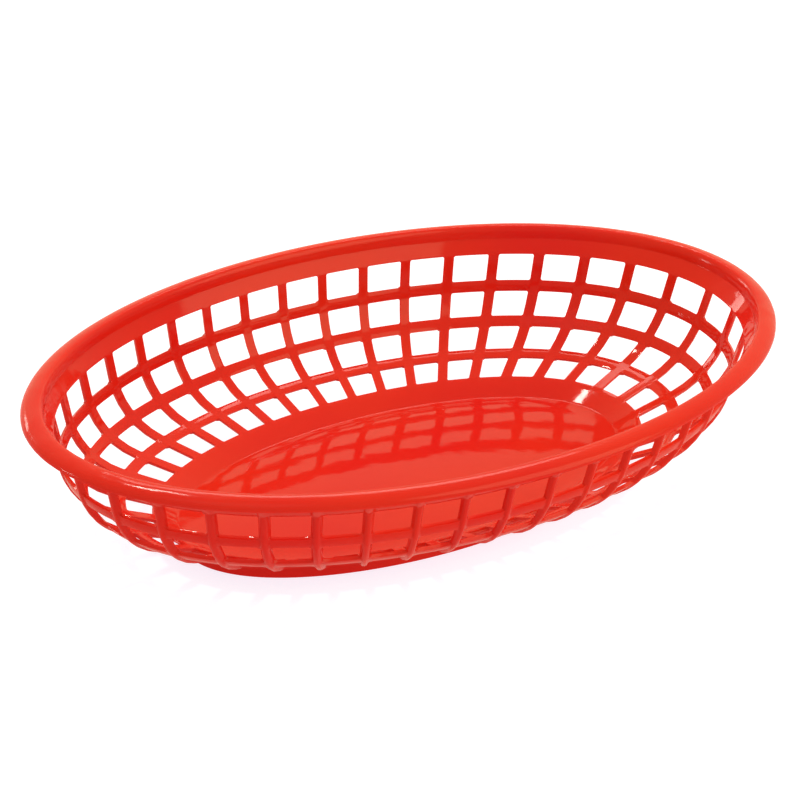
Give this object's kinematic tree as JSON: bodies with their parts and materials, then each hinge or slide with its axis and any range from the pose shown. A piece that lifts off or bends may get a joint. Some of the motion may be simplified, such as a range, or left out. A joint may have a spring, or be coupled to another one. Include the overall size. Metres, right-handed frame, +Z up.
{
  "type": "plastic basket",
  "caption": "Shallow oval plastic basket for serving food, with an open grid wall, a rolled lip, a smooth solid floor and a low foot ring.",
  "frame": {"origin": "centre of the underside, on the plane that the foot ring stands on", "axes": "+X along the long axis of the oval, +Y across it, +Z up towards the lip"},
  "size_m": [0.235, 0.1408, 0.045],
  "materials": {
    "red_plastic": "glossy moulded"
  },
  "bodies": {
    "root": {"basket": "red_plastic"}
  },
  "joints": []
}
